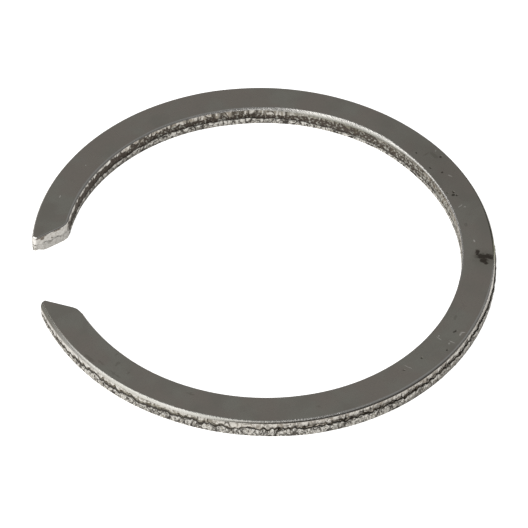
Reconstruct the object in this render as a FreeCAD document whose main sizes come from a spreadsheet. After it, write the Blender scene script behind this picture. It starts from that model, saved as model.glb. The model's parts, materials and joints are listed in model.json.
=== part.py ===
"""Open retaining ring for a shaft groove, blanked in one piece from spring-steel strip.

The ring lies flat with its axis on Z. The origin is on the axis at mid-thickness, and the
opening faces -X. Blanking leaves a rounded die roll round the upper face, a straight land
below it, and a tear line where the land ends. The opening is narrowest at the outer rim:
each end is cut back towards the bore, so that a tool can get a hold behind it.
Lengths are in millimetres and angles in degrees.
"""

import FreeCAD, Part
import math
import os

import Sketcher

Vector = FreeCAD.Vector

# Driving dimensions: alias, value, and what it sets.
SIZES = [
    ("bore_radius", 25.15, "inner rim, free state"),
    ("ring_width", 4.2, "radial width of the flat face"),
    ("thickness", 2.4, "strip thickness"),
    ("tip_opening", 9.9, "opening between the two tips, measured to their sharp corners"),
    ("end_flare", 26.0, "angle of each end cut to the opening's centre line"),
    ("tip_round", 0.5, "corner radius at the outer tip of each end"),
    ("heel_round", 2.4, "corner radius where each end meets the bore"),
    ("die_roll", 0.3, "edge radius all round the upper face"),
    ("tumbled_edge", 0.12, "edge radius all round the lower face"),
    ("tear_height", 1.0, "tear line above the lower face"),
    ("tear_width", 0.24, "width of the tear line at the rim"),
    ("tear_depth", 0.1, "depth of the tear line into the rim"),
]

# The sketcher's own numbers for a curve's points, and for the sketch's origin.
START, END, CENTRE = 1, 2, 3
SKETCH_ORIGIN = (-1, 1)


def make_sizes(doc):
    """Spreadsheet of driving dimensions, one aliased cell each."""
    sheet = doc.addObject("Spreadsheet::Sheet", "sizes")
    for row, (alias, value, meaning) in enumerate(SIZES, start=1):
        sheet.set(f"A{row}", alias)
        sheet.set(f"B{row}", str(value))
        sheet.set(f"C{row}", meaning)
        sheet.setAlias(f"B{row}", alias)
    doc.recompute()
    return sheet


def origin_feature(body, role):
    """The body's own origin plane or axis that has this role."""
    return next(feature for feature in body.Origin.OriginFeatures if feature.Role == role)


def add_sketch(body, name, plane_role):
    """An empty sketch lying on one of the body's origin planes."""
    sketch = body.newObject("Sketcher::SketchObject", name)
    sketch.AttachmentSupport = [(origin_feature(body, plane_role), "")]
    sketch.MapMode = "FlatFace"
    return sketch


def bind(sketch, name, expression, *constraint):
    """Adds a constraint, names it, and drives its value from the spreadsheet."""
    index = sketch.addConstraint(Sketcher.Constraint(*constraint))
    sketch.renameConstraint(index, name)
    sketch.setExpression(f"Constraints.{name}", expression)


def segment(start, end):
    """The straight line from one point of a sketch to another."""
    return Part.LineSegment(Vector(*start, 0), Vector(*end, 0))


def arc_between(centre, radius, start, end):
    """The arc about centre that runs counter-clockwise from one point to the other."""
    circle = Part.Circle(Vector(*centre, 0), Vector(0, 0, 1), radius)
    first, last = (math.atan2(y - centre[1], x - centre[0]) for x, y in (start, end))
    return Part.ArcOfCircle(circle, first, last)


def end_points(sheet):
    """The +Y end's sharp tip, and the centre and tangent points of its two rounded corners."""
    outer_radius = sheet.bore_radius + sheet.ring_width
    flare = math.radians(sheet.end_flare)
    inwards = (math.cos(flare), math.sin(flare))
    into_metal = (-inwards[1], inwards[0])
    tip_y = sheet.tip_opening / 2
    tip = (-math.sqrt(outer_radius**2 - tip_y**2), tip_y)

    def round_centre(radius, centre_circle):
        """The point of centre_circle that is this radius from the end cut, on the metal's side."""
        beside_tip = [tip[i] + radius * into_metal[i] for i in range(2)]
        along = beside_tip[0] * inwards[0] + beside_tip[1] * inwards[1]
        across = beside_tip[0] ** 2 + beside_tip[1] ** 2 - along**2
        step = -along - math.sqrt(centre_circle**2 - across)
        return [beside_tip[i] + step * inwards[i] for i in range(2)]

    def on_cut(centre, radius):
        """Where a corner round meets the end cut."""
        return [centre[i] - radius * into_metal[i] for i in range(2)]

    def on_rim(centre, rim_radius):
        """Where a corner round meets a rim."""
        return [coordinate * rim_radius / math.hypot(*centre) for coordinate in centre]

    tip_centre = round_centre(sheet.tip_round, outer_radius - sheet.tip_round)
    heel_centre = round_centre(sheet.heel_round, sheet.bore_radius + sheet.heel_round)
    return {
        "tip": tip,
        "tip_centre": tip_centre,
        "tip_on_rim": on_rim(tip_centre, outer_radius),
        "tip_on_cut": on_cut(tip_centre, sheet.tip_round),
        "heel_centre": heel_centre,
        "heel_on_cut": on_cut(heel_centre, sheet.heel_round),
        "heel_on_rim": on_rim(heel_centre, sheet.bore_radius),
    }


def draw_end(sketch, sheet, rims, points, side):
    """One end of the ring: tip round, straight cut and heel round, joined to both rims."""
    label = {1: "upper", -1: "lower"}[side]
    # Arcs run counter-clockwise, so the two ends list their arcs' points in opposite order.
    tip = sketch.addGeometry(arc_between(
        points["tip_centre"], sheet.tip_round, *(points["tip_on_rim"], points["tip_on_cut"])[::side]))
    cut = sketch.addGeometry(segment(points["tip_on_cut"], points["heel_on_cut"]))
    heel = sketch.addGeometry(arc_between(
        points["heel_centre"], sheet.heel_round, *(points["heel_on_cut"], points["heel_on_rim"])[::side]))
    first, last = (START, END)[::side]
    for join in (
        (rims["outer"], last, tip, first),
        (tip, last, cut, START),
        (cut, END, heel, first),
        (heel, last, rims["inner"], last),
    ):
        sketch.addConstraint(Sketcher.Constraint("Tangent", *join))
    bind(sketch, f"{label}_tip", "sizes.tip_round", "Radius", tip, sheet.tip_round)
    bind(sketch, f"{label}_heel", "sizes.heel_round", "Radius", heel, sheet.heel_round)
    bind(sketch, f"{label}_flare", f"{side} * sizes.end_flare * 1 deg",
         "Angle", cut, side * math.radians(sheet.end_flare))

    # The sharp corner, where the cut's line would meet the outer rim, sets the opening.
    corner = sketch.addGeometry(Part.Point(Vector(*points["tip"], 0)), True)
    for curve in (rims["outer"], cut):
        sketch.addConstraint(Sketcher.Constraint("PointOnObject", corner, START, curve))
    bind(sketch, f"{label}_opening", f"{side} * sizes.tip_opening / 2",
         "DistanceY", *SKETCH_ORIGIN, corner, START, side * sheet.tip_opening / 2)


def draw_plan(body, sheet):
    """Plan outline of the ring: two round rims and two ends."""
    sketch = add_sketch(body, "plan_outline", "XY_Plane")
    upper = end_points(sheet)
    lower = {name: (x, -y) for name, (x, y) in upper.items()}
    rims = {}
    for name, radius, expression, end in (
        ("outer", sheet.bore_radius + sheet.ring_width, "sizes.bore_radius + sizes.ring_width", "tip_on_rim"),
        ("inner", sheet.bore_radius, "sizes.bore_radius", "heel_on_rim"),
    ):
        rims[name] = sketch.addGeometry(arc_between((0, 0), radius, lower[end], upper[end]))
        sketch.addConstraint(Sketcher.Constraint("Coincident", rims[name], CENTRE, *SKETCH_ORIGIN))
        bind(sketch, f"{name}_rim", expression, "Radius", rims[name], radius)
    draw_end(sketch, sheet, rims, upper, 1)
    draw_end(sketch, sheet, rims, lower, -1)
    return sketch


def flat_face(shape, upwards):
    """Name of the shape's flat face that looks straight up (1) or straight down (-1)."""
    for index, face in enumerate(shape.Faces, start=1):
        if isinstance(face.Surface, Part.Plane) and face.normalAt(0, 0).z * upwards > 0.99:
            return f"Face{index}"
    raise RuntimeError("the ring has no flat face on that side")


def round_edges(body, name, base, upwards):
    """Rounds every edge of the upper or lower face by the size that has this name."""
    fillet = body.newObject("PartDesign::Fillet", name)
    fillet.Base = (base, [flat_face(base.Shape, upwards)])
    fillet.setExpression("Radius", f"sizes.{name}")
    body.Document.recompute()
    return fillet


def draw_tear(body, sheet):
    """Section of the tear line: a V in each rim at the same height, its mouth clear of the metal."""
    sketch = add_sketch(body, "tear_section", "XZ_Plane")
    height = sheet.tear_height - sheet.thickness / 2
    # The V goes as far outside the rim as inside it, so its mouth is twice the tear's width.
    half_mouth = sheet.tear_width
    for label, rim, expression, outwards in (
        ("outer", sheet.bore_radius + sheet.ring_width, "sizes.bore_radius + sizes.ring_width", 1),
        ("inner", sheet.bore_radius, "sizes.bore_radius", -1),
    ):
        mouth_x = rim + outwards * sheet.tear_depth
        root_x = rim - outwards * sheet.tear_depth
        corners = [(mouth_x, height - half_mouth), (mouth_x, height + half_mouth), (root_x, height)]
        mouth, above, below = (
            sketch.addGeometry(segment(corners[i], corners[(i + 1) % 3])) for i in range(3)
        )
        for line, following in ((mouth, above), (above, below), (below, mouth)):
            sketch.addConstraint(Sketcher.Constraint("Coincident", line, END, following, START))
        sketch.addConstraint(Sketcher.Constraint("Vertical", mouth))
        sketch.addConstraint(Sketcher.Constraint("Equal", above, below))
        bind(sketch, f"{label}_mouth", "2 * sizes.tear_width",
             "DistanceY", mouth, START, mouth, END, 2 * half_mouth)
        bind(sketch, f"{label}_clear", f"{expression} + {outwards} * sizes.tear_depth",
             "DistanceX", *SKETCH_ORIGIN, mouth, START, mouth_x)
        bind(sketch, f"{label}_root", f"{expression} - {outwards} * sizes.tear_depth",
             "DistanceX", *SKETCH_ORIGIN, above, END, root_x)
        bind(sketch, f"{label}_height", "sizes.tear_height - sizes.thickness / 2",
             "DistanceY", *SKETCH_ORIGIN, above, END, height)
    return sketch


def make_ring(doc, sheet):
    """The ring: blanked outline, die roll, tumbled lower edge, and the tear line in both rims."""
    body = doc.addObject("PartDesign::Body", "retaining_ring")
    body.Label = "retaining_ring"

    blank = body.newObject("PartDesign::Pad", "blank")
    blank.Profile = draw_plan(body, sheet)
    blank.SideType = "Symmetric"
    blank.setExpression("Length", "sizes.thickness")
    doc.recompute()

    rolled = round_edges(body, "die_roll", blank, 1)
    tumbled = round_edges(body, "tumbled_edge", rolled, -1)

    tear = body.newObject("PartDesign::Groove", "tear_line")
    tear.Profile = draw_tear(body, sheet)
    tear.ReferenceAxis = (origin_feature(body, "Z_Axis"), [""])
    tear.Angle = 360
    doc.recompute()
    if tear.Shape.Volume >= tumbled.Shape.Volume:
        raise RuntimeError("the tear line cut nothing")
    return body


def check(doc):
    """Stops on a failed object, a loose sketch or a bad solid, before any file is written."""
    for item in doc.Objects:
        if {"Invalid", "Error"} & set(item.State):
            raise RuntimeError(f"{item.Name} failed: {item.State}")
        if item.TypeId == "Sketcher::SketchObject" and not item.FullyConstrained:
            raise RuntimeError(f"{item.Name} isn't fully constrained")
        if item.TypeId == "PartDesign::Body" and (item.Shape.isNull() or not item.Shape.isValid()):
            raise RuntimeError(f"{item.Label} has no valid solid")


def main():
    doc = FreeCAD.newDocument("retaining_ring_model")
    ring = make_ring(doc, make_sizes(doc))
    doc.recompute()
    check(doc)
    os.makedirs("parts", exist_ok=True)
    ring.Shape.exportStep(os.path.join("parts", f"{ring.Label}.step"))
    box = ring.Shape.optimalBoundingBox(False)
    print(f"{ring.Label}: {box.XLength:.2f} x {box.YLength:.2f} x {box.ZLength:.2f} mm,"
          f" {ring.Shape.Volume:.1f} mm3 in {len(ring.Shape.Solids)} solid")


main()
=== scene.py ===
import json
import math

import bpy
import numpy as np
from mathutils import Matrix, Vector, noise


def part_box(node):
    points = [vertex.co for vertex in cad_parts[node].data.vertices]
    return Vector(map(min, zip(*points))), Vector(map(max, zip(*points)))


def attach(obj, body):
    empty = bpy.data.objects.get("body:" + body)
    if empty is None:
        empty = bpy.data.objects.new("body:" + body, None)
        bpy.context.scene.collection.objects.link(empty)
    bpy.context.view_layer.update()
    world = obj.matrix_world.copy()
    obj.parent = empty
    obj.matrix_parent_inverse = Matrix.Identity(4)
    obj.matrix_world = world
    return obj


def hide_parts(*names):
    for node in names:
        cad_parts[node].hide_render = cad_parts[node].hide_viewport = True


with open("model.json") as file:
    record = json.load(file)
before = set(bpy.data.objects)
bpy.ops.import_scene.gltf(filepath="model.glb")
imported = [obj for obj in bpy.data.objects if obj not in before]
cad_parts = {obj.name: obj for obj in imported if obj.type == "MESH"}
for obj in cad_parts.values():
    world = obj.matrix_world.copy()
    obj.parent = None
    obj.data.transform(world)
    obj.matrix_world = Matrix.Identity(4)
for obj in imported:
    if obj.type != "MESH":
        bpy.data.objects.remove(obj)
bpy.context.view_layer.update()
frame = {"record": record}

mm = 0.001


# --- The ring blank ---------------------------------------------------------------------------
# One piece of spring-steel strip, blanked by a punch from above and then tumbled. Its plan is two
# round rims and two ends, each cut back towards the bore, with a small round at both corners.

ring_low, ring_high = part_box("retaining_ring")
groove_mount = next(m for m in frame["record"]["mounts"] if m["name"] == "shaft_groove")
bore_radius = groove_mount["dims"]["r_mm"] * mm
rim_radius = ring_high.y
thickness = ring_high.z - ring_low.z

# The ends' own sizes, which the frame doesn't give.
tip_half_opening = 4.95 * mm
end_flare = math.radians(26)
tip_round = 0.5 * mm
heel_round = 2.4 * mm

# How far apart the outline's points are.
rim_step = 0.138 * mm
end_step = 0.1 * mm


def turned(direction):
    """A plan direction turned a quarter turn anticlockwise."""
    return np.array([-direction[1], direction[0]])


def arc(centre, start, end, step):
    """Points of the short arc about centre from start to end, about one step apart."""
    first, last = (math.atan2(*(point - centre)[::-1]) for point in (start, end))
    sweep = (last - first + math.pi) % (2 * math.pi) - math.pi
    radius = np.linalg.norm(start - centre)
    angles = first + sweep * np.linspace(0, 1, max(2, round(abs(sweep) * radius / step) + 1))
    return centre + radius * np.stack([np.cos(angles), np.sin(angles)], axis=1)


def plan_of_end():
    """Where the +Y end's cut starts, and the path round that end from the outer rim to the bore.

    The path begins and ends at one bearing, so that the strip has its full width up to there.
    """
    inwards = np.array([math.cos(end_flare), math.sin(end_flare)])
    into_metal = turned(inwards)
    tip = np.array([-math.sqrt(rim_radius**2 - tip_half_opening**2), tip_half_opening])

    def corner_centre(radius, distance):
        """The point that is this distance from the axis and this radius inside the end cut."""
        beside = tip + radius * into_metal
        along = beside @ inwards
        return beside + inwards * (-along - math.sqrt(along**2 + distance**2 - beside @ beside))

    tip_centre = corner_centre(tip_round, rim_radius - tip_round)
    heel_centre = corner_centre(heel_round, bore_radius + heel_round)
    tip_on_rim = tip_centre / np.linalg.norm(tip_centre) * rim_radius
    heel_on_bore = heel_centre / np.linalg.norm(heel_centre) * bore_radius
    tip_on_cut = tip_centre - tip_round * into_metal
    heel_on_cut = heel_centre - heel_round * into_metal
    last_full_width = heel_on_bore / bore_radius * rim_radius
    cut_points = round(np.linalg.norm(heel_on_cut - tip_on_cut) / end_step)
    cut = tip_on_cut + np.linspace(0, 1, cut_points + 1)[:, None] * (heel_on_cut - tip_on_cut)
    path = np.concatenate([
        arc(np.zeros(2), last_full_width, tip_on_rim, end_step)[:-1],
        arc(tip_centre, tip_on_rim, tip_on_cut, end_step)[:-1],
        cut[:-1],
        arc(heel_centre, heel_on_cut, heel_on_bore, end_step),
    ])
    return tip_on_cut, path


cut_at_tip, end_path = plan_of_end()
full_width_angle = math.atan2(end_path[-1][1], end_path[-1][0])
stations = round(2 * full_width_angle * rim_radius / rim_step)
bearings = np.linspace(-full_width_angle, full_width_angle, stations + 1)
spokes = np.stack([np.cos(bearings), np.sin(bearings)], axis=1)
upper_end = end_path[1:-1]
lower_end = upper_end[::-1] * np.array([1, -1])
outline = np.concatenate([rim_radius * spokes, upper_end, bore_radius * spokes[::-1], lower_end])

rim_count, end_count, loop_count = len(spokes), len(upper_end), len(outline)
bore_at = rim_count + end_count
lower_end_at = bore_at + rim_count

steps = np.linalg.norm(np.roll(outline, -1, axis=0) - outline, axis=1)
around = np.concatenate([[0], np.cumsum(steps)[:-1]])
outline_length = steps.sum()
tangents = np.roll(outline, -1, axis=0) - np.roll(outline, 1, axis=0)
tangents /= np.linalg.norm(tangents, axis=1)[:, None]
outwards = np.stack([tangents[:, 1], -tangents[:, 0]], axis=1)
angle = np.degrees(np.arctan2(outline[:, 1], outline[:, 0]))

# How far each point belongs to the bore, to an end cut and to a tip, from 0 to 1.
along_end = np.linspace(0, 1, end_count)
in_bore = np.concatenate([np.zeros(rim_count), np.clip(along_end * 8 - 7, 0, 1),
                          np.ones(rim_count), np.clip(1 - along_end * 8, 0, 1)])
gap_to_cut = np.minimum(np.linalg.norm(outline - cut_at_tip, axis=1),
                        np.linalg.norm(outline - cut_at_tip * [1, -1], axis=1))
beside_cut = np.abs(tangents @ [math.cos(end_flare), math.sin(end_flare)])
beside_lower_cut = np.abs(tangents @ [math.cos(end_flare), -math.sin(end_flare)])
on_end = np.concatenate([np.zeros(rim_count), np.clip(beside_cut[rim_count:bore_at] * 6 - 4.6, 0, 1),
                         np.zeros(rim_count), np.clip(beside_lower_cut[lower_end_at:] * 6 - 4.6, 0, 1)])
at_tip = np.exp(-(gap_to_cut / (0.5 * mm))**2)
by_tip = np.exp(-(gap_to_cut / (1.5 * mm))**2)

layer_gap = 40 * mm


def lumps(down, pitch, stretch=1.0, slant=0.0, layer=0):
    """Smooth noise over the unrolled wall, from -1 to 1, with lumps about one pitch across."""
    reach = outline_length / (2 * math.pi)
    turn = (around + slant * down) / reach
    level = down / stretch + np.zeros(loop_count) + layer_gap * layer
    spots = np.stack([reach * np.cos(turn), reach * np.sin(turn), level], axis=-1) / pitch
    found = [noise.noise(Vector(spot)) for spot in spots.reshape(-1, 3)]
    return np.clip(2 * np.array(found).reshape(level.shape), -1, 1)


def seams(down, pitch, width, stretch=1.0, slant=0.0, layer=0):
    """Thin crooked lines over the wall: 1 where the lumps cross zero, 0 where they reach this width."""
    return np.clip(1 - abs(lumps(down, pitch, stretch, slant, layer)) / width, 0, 1)


def by_angle(*knots):
    """A value for every point of the outline, drawn straight between (degrees, value) knots."""
    return np.interp(angle, *zip(*knots))


def blend(share, first, second):
    """The first value, going over to the second as the share goes from 0 to 1."""
    return first + (second - first) * share


# The die roll is widest towards -Y on the rim and between +X and +Y in the bore, and it deepens at
# the lower tip. These are its reach in from the wall and its drop from the face, in millimetres.
rim_reach = by_angle((-165, 0.25), (-150, 0.28), (-141, 0.37), (-112, 0.40), (-100, 0.36), (-30, 0.34),
                     (0, 0.3), (30, 0.2), (150, 0.2), (180, 0.25))
bore_reach = by_angle((-150, 0.2), (15, 0.2), (29, 0.25), (38, 0.38), (46, 0.62), (58, 0.62),
                      (66, 0.56), (80, 0.38), (105, 0.3), (180, 0.3))
rim_drop = by_angle((-165, 0.7), (-158, 0.6), (-148, 0.4), (-140, 0.28), (-60, 0.26), (0, 0.3),
                    (30, 0.2), (180, 0.22))
bore_drop = by_angle((-180, 0.2), (20, 0.12), (36, 0.17), (48, 0.29), (66, 0.29), (85, 0.16),
                     (110, 0.13), (180, 0.12))
end_reach, end_drop = 0.18, 0.14
roll_reach = blend(on_end, blend(in_bore, rim_reach, bore_reach), end_reach) * mm
roll_reach *= 1 + 0.1 * lumps(0, 5 * mm)
roll_drop = blend(on_end, blend(in_bore, rim_drop, bore_drop), end_drop) * mm
roll_drop *= 1 + 0.1 * lumps(0, 6 * mm, layer=1)

# At 1 the roll would be a true round; nearer 2 it is flatter, like a bevel.
roll_curve = blend(in_bore, 1.35, by_angle((25, 1.35), (40, 1.8), (76, 1.8), (92, 1.35)))

# Below the land the metal tore, from its lip down to its foot. On the rim that is a thin ragged
# crack towards -Y, and a broad mottled band towards the lower tip; in the bore it is broad all round.
wander = lumps(0, 6 * mm, layer=2) + 0.8 * lumps(0, 2.4 * mm, layer=17)
teeth = abs(lumps(0, 0.9 * mm, layer=3)) - 0.3
nicks = lumps(0, 0.35 * mm, layer=4)
rim_lip = by_angle((-165, 1.25), (-156, 1.1), (-148, 0.9), (-140, 0.60), (-112, 0.58), (-104, 0.90),
                   (-90, 1.0), (-60, 1.0), (-45, 0.94), (-30, 1.02), (-18, 1.35), (0, 1.35), (180, 1.1))
rim_foot = by_angle((-165, 2.0), (-156, 1.9), (-148, 1.7), (-140, 1.5), (-118, 1.42), (-104, 1.24),
                    (-88, 1.14), (-65, 1.1), (-45, 1.05), (-30, 1.14), (-18, 1.6), (0, 1.65), (180, 1.35))
rim_lip += 0.09 * wander + 0.40 * teeth + 0.12 * nicks
rim_foot += 0.09 * wander + 0.34 * teeth + 0.18 * lumps(0, 0.6 * mm, layer=5) - 0.06

# In the bore the land has upright gaps, crowded in some stretches and rare in others.
crowded = np.clip(0.5 + 2 * lumps(0, 4 * mm, layer=19), 0, 1)
gaps = np.maximum(seams(0, 3.1 * mm, 0.14, layer=6), seams(0, 1.3 * mm, 0.2, layer=18) * crowded)
bore_lip = by_angle((-180, 0.7), (0, 0.45), (40, 0.5), (75, 0.85), (90, 0.95), (98, 0.85),
                    (106, 0.6), (120, 0.5), (140, 0.54), (180, 0.5))
bore_lip += 0.12 * wander - 0.25 * gaps + 0.30 * teeth + 0.12 * nicks
bore_foot = by_angle((0, 1.7), (14, 1.85), (30, 1.8), (43, 1.9), (64, 1.9), (78, 1.55), (90, 1.45),
                     (115, 1.42), (140, 1.5), (158, 1.75), (180, 1.75))
bore_foot += 0.05 * wander + 0.1 * lumps(0, 0.8 * mm, layer=7)

# The land and the tear always have some height. The tear is shallow on the end cuts and by the
# tips, and the metal beside them is calm too.
least_land = 0.12 * mm
least_tear = 0.06 * mm
lip = np.maximum(blend(in_bore, rim_lip, bore_lip) * mm, roll_drop + least_land)
foot = np.maximum(blend(in_bore, rim_foot, bore_foot) * mm, lip + least_tear)
tear_depth = blend(in_bore, 0.10, 0.08) * blend(on_end, 1, 0.12) * mm
tear_depth *= 1 + 0.3 * lumps(0, 1.1 * mm, layer=8)
tear_depth *= 1 - 0.9 * by_tip
calm = (1 - 0.8 * on_end) * (1 - 0.85 * by_tip)

# The tumbled edge at the foot of the wall, and the strip of each flat face beside the wall.
round_reach = (0.09 + 0.04 * lumps(0, 0.5 * mm, layer=9)) * mm
round_rise = 0.07 * mm
round_start = 0.02 * mm
upper_margin = 0.12 * mm
lower_margin = 0.2 * mm

stages, insets, depths, pits = [], [], [], []


def add_row(stage, inset, down, pit=0.0):
    """One row of points round the wall: how far in from the outline, and how far down."""
    stages.append(stage)
    insets.append(inset + np.zeros(loop_count))
    depths.append(down + np.zeros(loop_count))
    pits.append(pit + np.zeros(loop_count))


# The upper face's margin, then the die roll: stages 0 to 1.
add_row(-1, roll_reach + upper_margin, 0)
for share in np.linspace(0, 1, 7):
    tilt = share * math.pi / 2
    reach_left = roll_reach * (1 - math.sin(tilt)**roll_curve)
    add_row(share, reach_left, roll_drop * (1 - math.cos(tilt)**roll_curve))

# The land, rubbed straight by the die but scored and chipped: stages 1 to 2.
for share in np.linspace(0, 1, 8)[1:]:
    down = roll_drop + share * (lip - roll_drop)
    score = seams(down, 1.3 * mm, 0.12, 5, layer=10) * 0.7
    chip = np.clip(lumps(down, 0.45 * mm, layer=11) - 0.35, 0, 1) * share
    hollow = np.maximum(np.maximum(score, chip), gaps * in_bore * 0.65) * calm
    wave = lumps(down, 1.2 * mm, 3, layer=12)
    add_row(1 + share, (0.02 * wave + 0.12 * hollow) * mm, down, hollow)

# The tear, cut in below the land's ragged lip: stages 2 to 3.
for share, depth_share in ((0.08, 0.7), (0.3, 1.0), (0.55, 1.0), (0.8, 0.9), (0.94, 0.5), (1.0, 0.1)):
    down = lip + share * (foot - lip)
    rough = 0.04 * mm * lumps(down, 0.4 * mm, layer=13) * calm
    add_row(2 + share, tear_depth * depth_share + rough, down, depth_share)

# The torn metal below, in crumbs and upright teeth: stages 3 to 4.
for share in np.linspace(0, 1, 11)[1:]:
    down = foot + share * (thickness - round_rise - foot)
    slit = seams(down, 0.6 * mm, 0.4, 2.2, 0.25, layer=14) * calm
    crumb = lumps(down, 0.3 * mm, 1.2, layer=15) * calm
    add_row(3 + share, (0.02 + 0.12 * slit - 0.04 * crumb) * mm, down, slit)

# The tumbled foot, stages 4 to 5, and the lower face's margin.
for share in np.linspace(0, 1, 4)[1:]:
    tilt = share * math.pi / 2
    down = thickness - round_rise * (1 - math.sin(tilt))
    add_row(4 + share, round_start + round_reach * (1 - math.cos(tilt)), down)
add_row(6, round_reach + lower_margin, thickness)

stages = np.array(stages)
insets, depths, pits = np.array(insets), np.array(depths), np.array(pits)

# The torn metal stands proud of the land, most on the rim towards -Y and at the end cuts. Both tips
# are rounder underneath, and the lower tip leans out a little.
tip_undercut = 0.1 * mm
cut_bulge = 0.3 * mm
lower_tip_lean = 0.17 * mm
rim_bulge = by_angle((-122, -0.03), (-110, 0.05), (-99, 0.13), (-88, 0.3), (-76, 0.35), (-63, 0.32),
                     (-48, 0.24), (-30, 0.2), (0, 0.24), (20, 0.15), (60, 0))
bore_bulge = by_angle((-180, 0.1), (0, 0), (30, 0.05), (45, -0.08), (58, 0.03), (70, 0.09), (81, 0.2),
                      (92, 0.28), (103, 0.23), (132, 0.2), (150, 0.12), (165, 0.2), (180, 0.2))
bulge = blend(in_bore, rim_bulge, bore_bulge) * (1 - at_tip) * mm
below_lip = stages[:, None] - 2
insets += np.clip(below_lip, 0, 1) * (np.clip(below_lip, 0, 2) * tip_undercut * at_tip - bulge * (1 - on_end))
insets -= np.clip((below_lip + 1) / 3, 0, 1) * cut_bulge * on_end * (1 - at_tip)
near_lower_tip = np.exp(-((angle + 175) / 14)**2)[:, None]
plan = outline - insets[:, :, None] * outwards + near_lower_tip * lower_tip_lean * np.array([-1, 0])
heights = ring_high.z - depths
points = np.concatenate([plan, heights[:, :, None]], axis=2).reshape(-1, 3)

# Quads between the rows of the wall, then the two flat faces: quads from rim to bore where the
# strip has its full width, and one many-sided face at each end.
row_count = len(stages)
faces = []
for row in range(row_count - 1):
    for here in range(loop_count):
        following = (here + 1) % loop_count
        top, bottom = row * loop_count, (row + 1) * loop_count
        faces.append((top + here, bottom + here, bottom + following, top + following))
wall_faces = len(faces) - 2 * loop_count

for start, order in ((0, 1), ((row_count - 1) * loop_count, -1)):
    for here in range(rim_count - 1):
        across = lower_end_at - 1 - here
        faces.append(tuple(start + k for k in (here, here + 1, across - 1, across))[::order])
    faces.append(tuple(start + k for k in range(rim_count - 1, bore_at + 1))[::order])
    faces.append(tuple(start + k % loop_count for k in range(lower_end_at - 1, loop_count + 1))[::order])

ring_mesh = bpy.data.meshes.new("ring")
ring_mesh.from_pydata(points.tolist(), [], faces)
ring_mesh.shade_smooth()
ring_mesh.set_sharp_from_angle(angle=math.radians(40))

# Dirt, wear and painted shade by bearing, each from 0 to 1. First how pale the tear is, how olive
# the dirt is, how clean the land is, and how much grime lies on it in the bore.
rim_pale = by_angle((-165, 0.5), (-156, 0.3), (-148, 0.3), (-140, 0.5), (-120, 0.5), (-108, 0.35),
                    (-100, 0.1), (-35, 0.05), (-20, 0.9), (0, 0.9), (20, 0.2), (165, 0.2), (170, 1),
                    (180, 1))
bore_pale = by_angle((-180, 0.1), (0, 0.95), (10, 0.9), (22, 0.4), (45, 0.3), (60, 0.25), (90, 0.3),
                     (115, 0.25), (130, 0.12), (180, 0.12))
rim_olive = by_angle((-150, 0), (-135, 0.8), (-115, 0.6), (-100, 0.1), (-30, 0.1), (-16, 0.3), (-11, 1),
                     (-7, 0.8), (-3, 0.1), (180, 0))
bore_olive = by_angle((-180, 0), (20, 0.1), (45, 0.5), (65, 0.9), (80, 0.3), (180, 0))
rim_clean = by_angle((-165, 1), (-150, 0.9), (-140, 0.45), (-120, 0.05), (-105, 0.12), (-90, 0.12),
                     (-72, 0.1), (-58, 0.1), (-46, 0.45), (-28, 0.6), (-20, 0.9), (0, 0.7), (165, 0.3),
                     (170, 0.9), (180, 0.9))
bore_clean = by_angle((-180, 0.3), (0, 0), (90, 0.05), (115, 0), (124, 0.15), (136, 0.6), (180, 0.75))
bore_grime = by_angle((-5, 0), (5, 0.6), (60, 0.8), (75, 0.2), (90, 0.0), (102, 0.3), (112, 0.35),
                      (124, 0.1), (180, 0.1))

# Then the painted shade: how much it darkens the roll and the land, how much lies on the torn metal
# towards its foot, how strong the painted dark reflection line under the rim's roll is, and where the
# wall faces +Y, whose roll gets the most painted shade.
rim_shade = by_angle((-175, 0.95), (-162, 0.92), (-150, 0.6), (-142, 0.3), (-120, 0.2), (-108, 0.4),
                     (-98, 0.5), (-88, 0.35), (-78, 0), (-18, 0), (-12, 0.3), (-7, 0.8), (-3, 0.98),
                     (20, 0.95), (60, 0))
bore_shade = by_angle((8, 0), (18, 0.5), (30, 0.85), (60, 0.75), (80, 0.45), (90, 0.05), (100, 0))
underside_shade = blend(in_bore, by_angle((-100, 0.1), (-70, 0.35), (-60, 0.8), (-25, 0.7), (0, 0.3)),
                  by_angle((60, 0), (80, 0.3), (120, 0.6), (138, 1), (170, 1)))
rim_line = by_angle((-112, 0), (-100, 1), (-45, 1), (-30, 0.6), (-20, 0), (180, 0))
away_shade = np.clip(outwards @ np.array([0.16, 0.99]) * 3, 0, 1)

for name, values in (
    ("stage", np.repeat(stages, loop_count)),
    ("pit", pits.reshape(-1)),
    ("in_bore", np.tile(in_bore, row_count)),
    ("on_end", np.tile(on_end, row_count)),
    ("pale", np.tile(blend(in_bore, rim_pale, bore_pale), row_count)),
    ("olive", np.tile(blend(in_bore, rim_olive, bore_olive), row_count)),
    ("clean", np.tile(blend(in_bore, rim_clean, bore_clean), row_count)),
    ("grime", np.tile(bore_grime * in_bore, row_count)),
    ("away_shade", np.tile(away_shade, row_count)),
    ("underside_shade", np.tile(underside_shade, row_count)),
    ("shade", np.tile(blend(in_bore, rim_shade, bore_shade), row_count)),
    ("edge_line", np.tile(rim_line * (1 - in_bore), row_count)),
):
    attribute = ring_mesh.attributes.new(name, "FLOAT", "POINT")
    attribute.data.foreach_set("value", values.astype(np.float32))

ring = bpy.data.objects.new("blanked_ring", ring_mesh)
bpy.context.scene.collection.objects.link(ring)
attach(ring, "root")
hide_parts("retaining_ring")


# --- The ring's finish ------------------------------------------------------------------------
# Bare spring steel. The flat faces are the strip's own rolled skin, dulled by tumbling to a dark
# satin; the sheared walls are bright where the die rubbed them and dirty where the metal tore, with
# painted shade and painted highlights on them as well.


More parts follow.
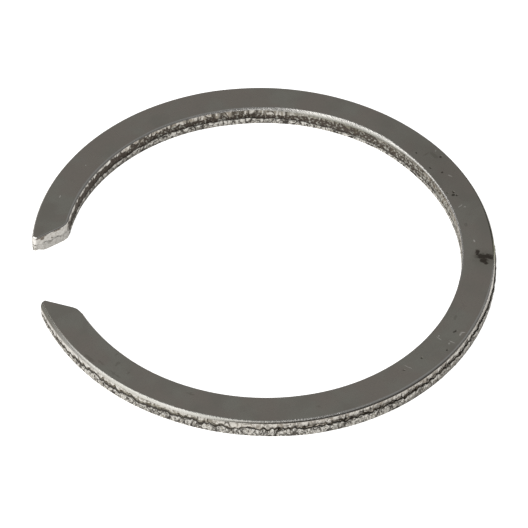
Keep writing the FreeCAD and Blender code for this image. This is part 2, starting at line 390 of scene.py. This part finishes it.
class Value:
    """A number that varies over the surface. Sums on it add Math nodes to the finish."""

    def __init__(self, finish, socket):
        self.finish, self.socket = finish, socket

    def math(self, operation, first, second):
        return self.finish.node("ShaderNodeMath", {"operation": operation}, {0: first, 1: second})

    def __add__(self, other):
        return self.math("ADD", self, other)

    def __radd__(self, other):
        return self.math("ADD", other, self)

    def __sub__(self, other):
        return self.math("SUBTRACT", self, other)

    def __rsub__(self, other):
        return self.math("SUBTRACT", other, self)

    def __mul__(self, other):
        return self.math("MULTIPLY", self, other)

    def __rmul__(self, other):
        return self.math("MULTIPLY", other, self)

    def most(self, other):
        """The larger of two values."""
        return self.math("MAXIMUM", self, other)

    def near(self, middle, width):
        """1 where the value is this, falling to 0 at this much more or less."""
        return self.math("ABSOLUTE", self - middle, 0.0).rise(width, 0.0)

    def rise(self, low, high):
        """0 below low, 1 above high, and a smooth climb between. It falls if high is under low."""
        inputs = {"Value": self, "From Min": low, "From Max": high}
        return self.finish.node("ShaderNodeMapRange", {"interpolation_type": "SMOOTHSTEP"}, inputs)


class Finish:
    """One material, and the way its nodes are made."""

    def __init__(self, name):
        self.material = bpy.data.materials.new(name)
        self.material.use_nodes = True
        self.tree = self.material.node_tree
        self.tree.nodes.clear()
        self.place = self.node("ShaderNodeNewGeometry", {}, {})
        inputs = {"Vector": self.stretched(1, 1, 1), "Scale": 2.5, "Detail": 3.0}
        swirl = self.node("ShaderNodeTexNoise", {}, inputs, "Color")
        self.fraying = self.node("ShaderNodeVectorMath", {"operation": "SUBTRACT"},
                                 {0: swirl, 1: (0.5, 0.5, 0.5)})

    def node(self, kind, settings, inputs, output=0):
        """A node with its settings made first and its sockets filled; gives one output."""
        node = self.tree.nodes.new(kind)
        for name, setting in settings.items():
            setattr(node, name, setting)
        for name, value in inputs.items():
            if isinstance(value, Value):
                self.tree.links.new(value.socket, node.inputs[name])
            else:
                node.inputs[name].default_value = value
        return Value(self, node.outputs[output]) if node.outputs else None

    def share(self, name):
        """A share stored in the ring's own mesh, such as how far a point is inside the bore."""
        return self.node("ShaderNodeAttribute", {"attribute_name": name}, {}, "Fac")

    def stretched(self, x, y, z):
        """The place on the ring in millimetres, stretched along the axes."""
        return self.node("ShaderNodeVectorMath", {"operation": "MULTIPLY"},
                         {0: self.place, 1: (x / mm, y / mm, z / mm)})

    def grain(self, scale, detail=2.0, upright=1.0, roughness=0.5):
        """Cloudy noise from 0 to 1, with this many lumps to the millimetre."""
        inputs = {"Vector": self.stretched(1, 1, 1 / upright), "Scale": scale, "Detail": detail,
                  "Roughness": roughness}
        return self.node("ShaderNodeTexNoise", {}, inputs)

    def mixed(self, share, first, second):
        """A colour that goes from first to second as the share goes from 0 to 1."""
        first, second = (c if isinstance(c, Value) else (*c, 1.0) for c in (first, second))
        return self.node("ShaderNodeMix", {"data_type": "RGBA"}, {0: share, 6: first, 7: second}, 2)

    def mark(self, degrees, radius, across, along, turn=0.0, height=None, tall=None, fray=0.4, soft=0.25):
        """1 inside an oval mark at this bearing and radius, 0 outside.

        Sizes are in mm from the mark's middle: across the strip, along it, and tall if it isn't flat.
        """
        bearing = math.radians(degrees)
        flat = height is None
        middle = (math.cos(bearing) * radius, math.sin(bearing) * radius, 0 if flat else height)
        offset = self.node("ShaderNodeVectorMath", {"operation": "SUBTRACT"},
                           {0: self.stretched(1, 1, 0 if flat else 1), 1: middle})
        frayed = self.node("ShaderNodeVectorMath", {"operation": "MULTIPLY_ADD"},
                           {0: self.fraying, 1: (fray, fray, 0 if flat else fray), 2: offset})
        spun = self.node("ShaderNodeVectorRotate", {"rotation_type": "Z_AXIS"},
                         {"Vector": frayed, "Angle": -bearing - math.radians(turn)})
        scaled = self.node("ShaderNodeVectorMath", {"operation": "MULTIPLY"},
                           {0: spun, 1: (1 / across, 1 / along, 0 if flat else 1 / tall)})
        reach = self.node("ShaderNodeVectorMath", {"operation": "LENGTH"}, {0: scaled}, "Value")
        return reach.rise(1 + soft, 1 - soft)

    def marks(self, *rows, **options):
        """Several marks at once, as one share."""
        found = None
        for row in rows:
            one = self.mark(*row, **options)
            found = one if found is None else found.most(one)
        return found

    def metal(self, colour, roughness, metallic, height, depth, edge_tint=(1, 1, 1)):
        """Ends the finish in a metal of this colour and gloss, over a relief this deep."""
        normal = self.node("ShaderNodeBump", {}, {"Height": height, "Distance": depth})
        shader = self.node("ShaderNodeBsdfPrincipled", {}, {
            "Base Color": colour, "Roughness": roughness, "Metallic": metallic, "Normal": normal,
            "Specular Tint": (*edge_tint, 1.0)})
        self.node("ShaderNodeOutputMaterial", {}, {"Surface": shader})
        return self.material


# The face's marks are on the upper face only.
face = Finish("tumbled_face")
on_top = face.share("stage").rise(1.0, 0.0)
cloud = face.grain(0.3, 3.0)
warmth = face.grain(0.22, 2.0)
fine = face.grain(8.0, 3.0)
skin = face.mixed(cloud.rise(0.35, 0.65), (0.645, 0.63, 0.555), (0.57, 0.54, 0.475))
skin = face.mixed(warmth.rise(0.4, 0.6) * 0.8, skin, (0.635, 0.57, 0.505))
skin = face.mixed(fine.rise(0.35, 0.75) * 0.3, skin, (0.46, 0.44, 0.395))

# The face is a little darker over a broad area near bearing 25.
broad_dimming = face.mark(25, 27.2, 2.5, 8.5, fray=2.0, soft=0.9)
skin = face.mixed(on_top * broad_dimming * 0.4, skin, (0.43, 0.40, 0.35))

# A dark stain beside the rim, with a paler halo that goes on over the edge as olive dirt.
halo = face.mark(-10.6, 28.3, 1.7, 1.25, fray=1.0, soft=0.5)
stain = on_top * face.marks((-10.2, 28.0, 1.25, 0.5), (-9.0, 27.1, 0.28, 0.6), (-10.6, 28.9, 0.5, 0.3),
                            (-11.7, 27.9, 0.6, 0.45), (-12.6, 28.2, 0.28, 0.3), fray=0.8, soft=0.45)
skin = face.mixed(on_top * halo * 0.3, skin, (0.30, 0.28, 0.22))
skin = face.mixed(stain * 0.93, skin, (0.04, 0.03, 0.022))

# Pits, dim patches, then bright scratches and nicks. A row is a mark's bearing and radius, its size
# across and along the strip, and its turn.
pits_dark = on_top * face.marks(
    (27.9, 28.4, 0.2, 0.14), (26.1, 26.1, 0.14, 0.14), (22.9, 26.9, 0.17, 0.16), (13.9, 26.3, 0.26, 0.2),
    (14.9, 26.5, 0.16, 0.2), (15.2, 25.75, 0.12, 0.14), (13.3, 26.7, 0.14, 0.14), (33.1, 26.4, 0.12, 0.14),
    (-51.6, 26.9, 0.16, 0.16), (-45.1, 28.4, 0.12, 0.12), (-58, 26.8, 0.12, 0.16), (-38.6, 27.6, 0.14, 0.3))
dim = on_top * face.marks(
    (29.5, 27.9, 0.25, 0.7), (1.8, 26.2, 0.25, 0.3), (31, 27.2, 0.5, 0.1), (-135.8, 27.1, 0.18, 0.16),
    (-140.1, 26.8, 0.4, 0.16), (-142.6, 25.8, 0.2, 0.2), (-146.5, 28.7, 0.25, 0.8),
    (-138.4, 28.3, 0.12, 1.0), (-143.5, 28.1, 0.15, 0.5), (-118, 26.3, 0.12, 0.5), (-84, 27.5, 0.1, 0.3),
    (-34, 26.6, 0.2, 0.4), fray=0.7)
bright = on_top * face.marks(
    (9.2, 26.4, 0.4, 0.05, 25), (8.6, 26.9, 0.15, 0.06, 10), (-42.1, 28.2, 0.4, 0.06, 5),
    (-43, 28.0, 0.12, 0.14), (-43, 26.5, 0.42, 0.05, -8), (-42.2, 26.3, 0.1, 0.1),
    (-56.4, 26.8, 0.6, 0.04, 15), (-37.8, 28.5, 0.3, 0.08, 30), (-38.6, 28.4, 0.1, 0.25),
    (-4.5, 26.8, 0.1, 0.2), (139.6, 27.0, 0.08, 0.08), (153.2, 27.4, 0.06, 0.25),
    (20.8, 27.5, 0.06, 0.35, 30), (30.5, 28.6, 0.25, 0.04, 40), fray=0.25)
skin = face.mixed(dim * 0.22, skin, (0.16, 0.14, 0.10))
skin = face.mixed(pits_dark * 0.75, skin, (0.075, 0.062, 0.045))
skin = face.mixed(bright * 0.7, skin, (0.85, 0.83, 0.78))

face_roughness = 0.25 + cloud * 0.05 + stain * 0.3 + bright * 0.25
face_metallic = 1.0 - stain * 0.25
face_relief = fine * 0.5 + cloud - pits_dark * 6.0
ring_mesh.materials.append(face.metal(skin, face_roughness, face_metallic, face_relief, 0.004 * mm))


# The wall's colour goes down by stage: roll to 1, land to 2, tear to 3, torn metal to 4, foot to 5.
wall = Finish("sheared_wall")
# The grey that painted shade on the roll and the land darkens towards.
painted_shade_grey = (0.10, 0.098, 0.085)
grit = (0.30, 0.28, 0.24)
stage = wall.share("stage")
pit = wall.share("pit")
bore_share = wall.share("in_bore")
end_share = wall.share("on_end")
pale = wall.share("pale")
olive = wall.share("olive")
clean = wall.share("clean")
away_shade_share = wall.share("away_shade")
edge_line = wall.share("edge_line")
shade = wall.share("shade")
underside_shade = wall.share("underside_shade")
grime = wall.share("grime")
streaks = wall.grain(3.0, 3.0, upright=5)
crumbs = wall.grain(3.1, 4.0, roughness=0.6)
specks = wall.grain(6.2, 3.0, roughness=0.6)
patches = wall.grain(0.5, 2.0)

# The roll's crest is paler: a painted highlight along the top edge.
roll_colour = wall.mixed(stage.rise(0.25, 0.5), (0.88, 0.86, 0.82), (0.62, 0.60, 0.57))
# Painted shade on the roll where the wall faces +Y.
roll_colour = wall.mixed(away_shade_share * 0.6, roll_colour, (0.28, 0.27, 0.24))
# Painted shade on the roll by bearing; in the bore only on its lower part.
roll_shade = shade * (1.0 - bore_share * stage.rise(0.78, 0.42))
roll_colour = wall.mixed(roll_shade, roll_colour, painted_shade_grey)
roll_colour = wall.mixed(specks.rise(0.55, 0.7) * 0.3, roll_colour, grit)
roll_colour = wall.mixed(olive * shade * (0.8 - bore_share * 0.6), roll_colour, (0.30, 0.31, 0.20))

dirt = wall.mixed(patches.rise(0.4, 0.6), (0.085, 0.072, 0.058), (0.12, 0.088, 0.058))
dirt = wall.mixed(olive, dirt, (0.115, 0.105, 0.062))
blots = wall.grain(1.7, 3.0, upright=1.4, roughness=0.65)
land_dirt = blots.rise(0.5, 0.6) * 0.75
land_dirt = land_dirt.most(streaks.rise(0.54, 0.64) * 0.7).most(specks.rise(0.56, 0.66) * 0.75)
land_dirt = land_dirt.most(grime * (0.3 + blots.rise(0.44, 0.54) * 0.8))
land_dirt = land_dirt.most(streaks.rise(0.49, 0.58) * bore_share * 0.7)
rubbed = wall.mixed(clean, (0.51, 0.485, 0.44), (0.78, 0.76, 0.72))
land = wall.mixed(land_dirt * (1.0 - clean * 0.8), rubbed, dirt)
# Painted shade on the land by bearing, less where it is clean or the dark line runs, fading down it.
land_shade = (shade * (1.0 - clean * 0.6) - edge_line * 0.35).most(0.0) * (1.7 - stage * 0.85)
land = wall.mixed(land_shade, land, painted_shade_grey)
# Painted shade in the land's scores, chips and gaps, darker where they are deeper.
land = wall.mixed(pit.rise(0.1, 0.5) * 0.85, land, (0.035, 0.028, 0.02))
# A painted dark reflection line just under the rim's roll, over the bearings that edge_line covers.
line = stage.rise(0.4, 0.65) * stage.rise(1.08, 0.9) * edge_line
steel = wall.mixed(stage.rise(0.9, 1.05), roll_colour, land)
steel = wall.mixed(line * 0.8, steel, (0.07, 0.058, 0.045))

tear_pale = wall.mixed(olive * (1.0 - bore_share), (0.40, 0.39, 0.345), (0.22, 0.195, 0.14))
mottle = wall.mixed((crumbs * 0.4 + blots * 0.6).rise(0.46, 0.53), dirt, tear_pale)
mottle = wall.mixed(specks.rise(0.54, 0.62) * 0.8, mottle, (0.035, 0.03, 0.02))
mottle = wall.mixed(streaks.rise(0.56, 0.64) * 0.6, mottle, (0.52, 0.51, 0.46))
crack = wall.mixed(crumbs.rise(0.45, 0.6), (0.042, 0.029, 0.017), (0.24, 0.19, 0.135))
bridges = wall.grain(1.1, 2.0).rise(0.45, 0.53) * edge_line
crack = wall.mixed(bridges, crack, (0.57, 0.52, 0.45))
bore_crack = wall.mixed(crumbs.rise(0.3, 0.7), (0.064, 0.051, 0.040), (0.042, 0.032, 0.024))
pale_specks = (crumbs + pale * 0.45).rise(0.62, 0.74)
tear_colour = wall.mixed(pale_specks, wall.mixed(bore_share, crack, bore_crack), mottle)
tear_colour = wall.mixed(stage.rise(2.6, 2.95) * bore_share * 0.6, tear_colour, (0.02, 0.018, 0.015))
steel = wall.mixed(stage.rise(1.96, 2.06), steel, tear_colour)

slits = wall.grain(1.3, 2.0, upright=2.5).near(0.5, 0.035)
torn = wall.mixed(crumbs.rise(0.48, 0.58), (0.60, 0.58, 0.535), grit)
torn = wall.mixed(specks.rise(0.56, 0.64) * 0.85, torn, (0.05, 0.042, 0.032))
# Dark upright slits, and painted shade in the torn metal's hollows and in the rim's tear, deeper ones darker.
torn = wall.mixed((slits * 0.9).most(pit.rise(0.3, 0.8) * 0.95), torn, (0.025, 0.02, 0.015))
# Painted shade on the torn metal under its bulge, towards its foot, and on the tumbled foot itself.
torn_shade = (stage.rise(3.15, 3.8) * underside_shade * 0.88).most(stage.rise(4.0, 4.6) * 0.5)
torn = wall.mixed(torn_shade, torn, (0.11, 0.10, 0.085))
rim_torn = stage.rise(2.35, 2.6) * (1.0 - bore_share)
steel = wall.mixed(stage.rise(2.92, 3.02).most(rim_torn), steel, torn)

# The end cuts are cleaner. The +Y one has a thin brown line under its upper edge, a blotch and a
# small pit. Where a row is longer, it also gives the mark's height from mid-thickness and how tall it is.
blotch = wall.marks((168.4, 28.0, 0.3, 0.3, 0, 0.75, 0.25), (166.4, 27.0, 0.2, 0.16, 0, 0.2, 0.16), fray=0.2)
line_reach = wall.marks((168.8, 28.3, 1.0, 1.0), (165.2, 26.4, 0.5, 0.5), fray=0.5)
blotch = blotch.most(stage.rise(0.92, 0.98) * stage.rise(1.2, 1.11) * line_reach)
cut = wall.mixed(crumbs.rise(0.45, 0.65) * 0.5, (0.44, 0.425, 0.395), (0.27, 0.25, 0.22))
cut = wall.mixed(specks.rise(0.58, 0.68) * 0.5, cut, (0.12, 0.10, 0.08))
cut = wall.mixed(blotch * 0.85, cut, (0.075, 0.055, 0.038))
steel = wall.mixed(end_share * stage.rise(0.6, 0.9), steel, cut)

wall_roughness = 0.2 + stage.rise(0.95, 1.1) * 0.14 + stage.rise(1.95, 2.05) * 0.16
wall_metallic = 1.0 - stage.rise(1.96, 2.06) * 0.4
wall_relief = crumbs + streaks * 0.5 + specks * 0.5
ring_mesh.materials.append(wall.metal(
    steel, wall_roughness, wall_metallic, wall_relief, 0.03 * mm, edge_tint=(0.55, 0.53, 0.5)))

# The flat faces and their margins have the face's finish, and the rows between them the wall's.
material_of_face = np.zeros(len(faces), dtype=np.int32)
material_of_face[loop_count:loop_count + wall_faces] = 1
ring_mesh.polygons.foreach_set("material_index", material_of_face)
ring_mesh.update()


# --- The table --------------------------------------------------------------------------------
# A pale table that glows evenly, as if lit from below, so that hardly any shadow shows on it.

table_mesh = bpy.data.meshes.new("table")
table_half = 3.0
table_mesh.from_pydata(
    [(x * table_half, y * table_half, ring_low.z) for x, y in ((-1, -1), (1, -1), (1, 1), (-1, 1))],
    [], [(0, 1, 2, 3)])
table = bpy.data.objects.new("table", table_mesh)
bpy.context.scene.collection.objects.link(table)
pale_table = bpy.data.materials.new("pale_table")
pale_table.use_nodes = True
table_shader = pale_table.node_tree.nodes["Principled BSDF"]
table_shader.inputs["Base Color"].default_value = (0.85, 0.85, 0.85, 1)
table_shader.inputs["Roughness"].default_value = 0.9
table_shader.inputs["Specular IOR Level"].default_value = 0.1
table_shader.inputs["Emission Color"].default_value = (1, 1, 1, 1)
table_shader.inputs["Emission Strength"].default_value = 0.9
table_mesh.materials.append(pale_table)


# --- Camera and light -------------------------------------------------------------------------
# A long lens looks down on the ring, whose opening faces left. One large softbox stands on the
# camera's left; the rest of the room is dim and even.

camera_azimuth = -99.2
camera_elevation = 46.28
camera_distance = 519.9 * mm


def towards(azimuth, elevation):
    """Direction from the ring's centre, by azimuth from +X and elevation in degrees."""
    turn, lift = math.radians(azimuth), math.radians(elevation)
    return Vector((math.cos(turn) * math.cos(lift), math.sin(turn) * math.cos(lift), math.sin(lift)))


def aimed(place, target, roll=0.0):
    """A placement at one point, looking at another, turned by roll degrees about its own line."""
    look = (target - place).to_track_quat("-Z", "Y").to_matrix().to_4x4()
    return Matrix.Translation(place) @ look @ Matrix.Rotation(math.radians(roll), 4, "Z")


camera_data = bpy.data.cameras.new("long_lens")
camera_data.sensor_width = 36
camera_data.lens = 280
camera_data.clip_start = 0.01
camera = bpy.data.objects.new("long_lens", camera_data)
bpy.context.scene.collection.objects.link(camera)
camera_place = towards(camera_azimuth, camera_elevation) * camera_distance
near_side = towards(camera_azimuth, 0)
right_side = towards(camera_azimuth + 90, 0)
camera_target = near_side * 1.60 * mm + right_side * 0.15 * mm
camera_roll = 1.4
camera.matrix_world = aimed(camera_place, camera_target, camera_roll)
bpy.context.scene.camera = camera


def softbox(name, azimuth, elevation, distance, wide, high, brightness):
    """A soft light facing the ring, at an azimuth measured from the camera's."""
    light = bpy.data.lights.new(name, "AREA")
    light.shape = "RECTANGLE"
    light.size, light.size_y = wide, high
    light.energy = brightness * wide * high * math.pi
    box = bpy.data.objects.new(name, light)
    bpy.context.scene.collection.objects.link(box)
    box.matrix_world = aimed(towards(camera_azimuth + azimuth, elevation) * distance, Vector())


softbox("left_softbox", azimuth=-58, elevation=45, distance=1.2, wide=2.2, high=1.8, brightness=1.4)

room = bpy.data.worlds.new("dim_room")
room.use_nodes = True
room.node_tree.nodes["Background"].inputs["Color"].default_value = (0.2, 0.2, 0.2, 1)
bpy.context.scene.world = room
bpy.context.scene.view_settings.view_transform = "Standard"
